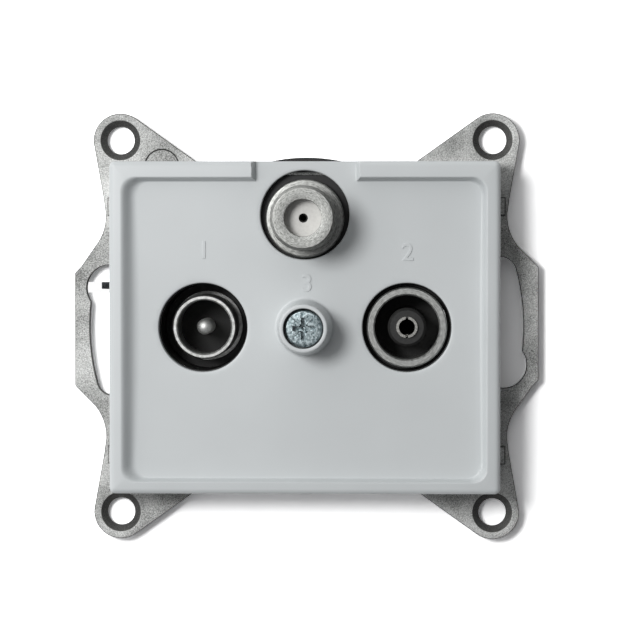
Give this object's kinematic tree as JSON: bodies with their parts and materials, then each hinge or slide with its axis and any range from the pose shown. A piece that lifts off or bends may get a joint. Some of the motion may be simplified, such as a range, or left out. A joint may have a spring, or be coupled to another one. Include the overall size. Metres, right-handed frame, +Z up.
{
  "type": "antenna wall socket",
  "caption": "Flush antenna wall socket: light grey cover over a die-cast frame with ears and claws, for TV, radio and satellite plugs.",
  "frame": {"origin": "centre of the mounting frame on its back plane, where it lies on the wall", "axes": "+X to the right and +Z up as the user sees it, the front faces -Y"},
  "size_m": [0.0694, 0.0384, 0.0636],
  "materials": {
    "zinc": "rough die-cast zinc",
    "cover_plastic": "satin moulded light grey",
    "zinc_plated_steel": "bright zinc plated",
    "brass": "turned",
    "black_plastic": "moulded black",
    "nickel": "nickel plated, turned",
    "dark_nickel": "nickel plated, dull",
    "white_plastic": "turned white insulator",
    "grey_plastic": "moulded grey insulator",
    "tinned_steel": "tinned sheet",
    "board": "glass-epoxy laminate",
    "ferrite": "sintered ferrite",
    "ceramic": "ceramic chips"
  },
  "bodies": {
    "socket": {"mounting_frame": "zinc", "cover_plate": "cover_plastic", "screw_insert": "brass", "connector_carrier": "black_plastic", "carrier_screws": "zinc_plated_steel", "tv_sleeve": "dark_nickel", "tv_pin": "dark_nickel", "tv_insulator": "black_plastic", "radio_sleeve": "dark_nickel", "radio_insulator": "grey_plastic", "radio_contact": "nickel", "sat_body": "nickel", "sat_insulator": "white_plastic", "sat_contact": "brass", "sat_nut": "nickel", "rear_base": "black_plastic", "shield_housing": "zinc", "shield_screws": "zinc_plated_steel", "rear_lid": "tinned_steel", "circuit_board": "board", "board_coils": "ferrite", "board_capacitors": "ceramic", "terminal_insulator": "white_plastic", "core_terminal": "brass", "claw_pin_left": "zinc_plated_steel", "claw_pin_right": "zinc_plated_steel"},
    "cover_screw": {"cover_screw": "zinc_plated_steel"},
    "claw_left": {"claw_left": "tinned_steel"},
    "claw_right": {"claw_right": "tinned_steel"},
    "claw_nut_left": {"claw_nut_left": "zinc_plated_steel"},
    "claw_nut_right": {"claw_nut_right": "zinc_plated_steel"},
    "claw_screw_left": {"claw_screw_left": "zinc_plated_steel"},
    "claw_screw_right": {"claw_screw_right": "zinc_plated_steel"},
    "clamp_saddle": {"clamp_saddle": "zinc_plated_steel"},
    "clamp_screw_left": {"clamp_screw_left": "zinc_plated_steel"},
    "clamp_screw_right": {"clamp_screw_right": "zinc_plated_steel"},
    "core_screw": {"core_screw": "zinc_plated_steel"}
  },
  "joints": [
    {"name": "cover_screw_turn", "type": "hinge", "parent": "socket", "child": "cover_screw", "pos_m": [0, -0.0118, 0], "axis": [0, 1, 0], "continuous": true},
    {"name": "claw_left_swing", "type": "hinge", "parent": "socket", "child": "claw_left", "pos_m": [-0.0223, 0.0042, 0.01], "axis": [0, 0, 1], "range_deg": [-20, 10]},
    {"name": "claw_right_swing", "type": "hinge", "parent": "socket", "child": "claw_right", "pos_m": [0.0223, 0.0042, -0.01], "axis": [0, 0, -1], "range_deg": [0, 30]},
    {"name": "claw_screw_left_turn", "type": "hinge", "parent": "socket", "child": "claw_screw_left", "pos_m": [-0.0252, 0, 0.01], "axis": [0, -1, 0], "range_deg": [-256.97, 512.93]},
    {"name": "claw_screw_right_turn", "type": "hinge", "parent": "socket", "child": "claw_screw_right", "pos_m": [0.0252, 0, -0.01], "axis": [0, -1, 0], "range_deg": [-768.9, 1]},
    {"name": "claw_nut_left_travel", "type": "slide", "parent": "socket", "child": "claw_nut_left", "axis": [0, -1, 0], "range_m": [-0.00085, 0.00043]},
    {"name": "claw_nut_right_travel", "type": "slide", "parent": "socket", "child": "claw_nut_right", "axis": [0, -1, 0], "range_m": [0, 0.00128]},
    {"name": "clamp_saddle_lift", "type": "slide", "parent": "socket", "child": "clamp_saddle", "axis": [0, 1, 0], "range_m": [0, 0.002]},
    {"name": "clamp_screw_left_turn", "type": "hinge", "parent": "clamp_saddle", "child": "clamp_screw_left", "pos_m": [-0.0076, 0.0145, -0.016], "axis": [0, 1, 0], "range_deg": [-1441, 1]},
    {"name": "clamp_screw_right_turn", "type": "hinge", "parent": "clamp_saddle", "child": "clamp_screw_right", "pos_m": [0.0076, 0.0145, -0.016], "axis": [0, 1, 0], "range_deg": [-1441, 1]},
    {"name": "core_screw_turn", "type": "hinge", "parent": "socket", "child": "core_screw", "pos_m": [0, 0.019, -0.00905], "axis": [0, 1, 0], "continuous": true}
  ],
  "couplings": [
    {"joint": "claw_screw_left_turn", "follows": "claw_left_swing", "ratio": -25.597},
    {"joint": "claw_screw_right_turn", "follows": "claw_right_swing", "ratio": -25.597},
    {"joint": "claw_nut_left_travel", "follows": "claw_left_swing", "m_per_rad": 0.0024443},
    {"joint": "claw_nut_right_travel", "follows": "claw_right_swing", "m_per_rad": 0.0024443},
    {"joint": "clamp_screw_left_turn", "follows": "clamp_saddle_lift", "rad_per_m": -12566},
    {"joint": "clamp_screw_right_turn", "follows": "clamp_saddle_lift", "rad_per_m": -12566}
  ]
}
